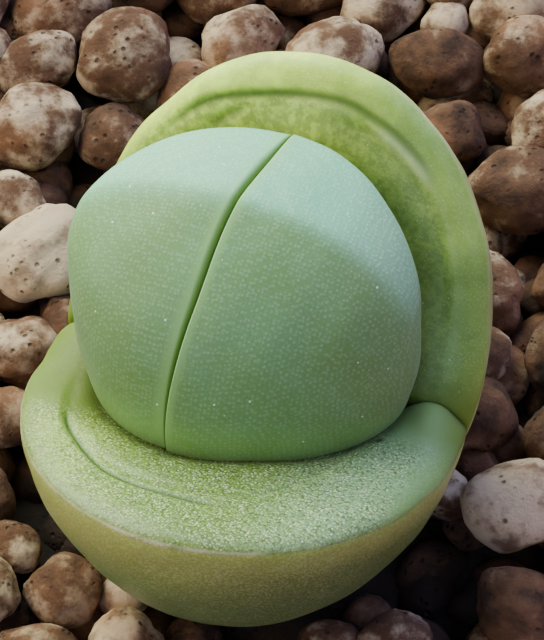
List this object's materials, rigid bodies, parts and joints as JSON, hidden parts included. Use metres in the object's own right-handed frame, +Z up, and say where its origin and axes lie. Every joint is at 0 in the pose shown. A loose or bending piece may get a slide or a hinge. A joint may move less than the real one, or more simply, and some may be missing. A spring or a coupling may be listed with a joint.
{
  "type": "potted argyroderma pearsonii",
  "caption": "Living stone succulent with an opened old leaf pair holding a rounded new pair, set in gritty mix with a stone dressing in a plain round clay pot.",
  "frame": {"origin": "centre of the pot's underside, on the surface it stands on", "axes": "+Z up along the pot's axis; +X along the cleft of the old leaf pair; the lower, further opened old leaf lies towards -Y"},
  "size_m": [0.1, 0.1, 0.0901],
  "materials": {
    "clay": "matte unglazed",
    "mix": "matte",
    "stones": "matte porous",
    "root_bark": "matte",
    "old_leaf": "satin, finely granular",
    "new_leaf": "matte waxy bloom"
  },
  "bodies": {
    "root": {"pot": "clay", "potting_mix": "mix", "grit_top_dressing": "stones", "root_and_stem": "root_bark", "outer_leaf_front": "old_leaf", "outer_leaf_back": "old_leaf", "inner_leaf_left": "new_leaf", "inner_leaf_right": "new_leaf"}
  },
  "joints": []
}
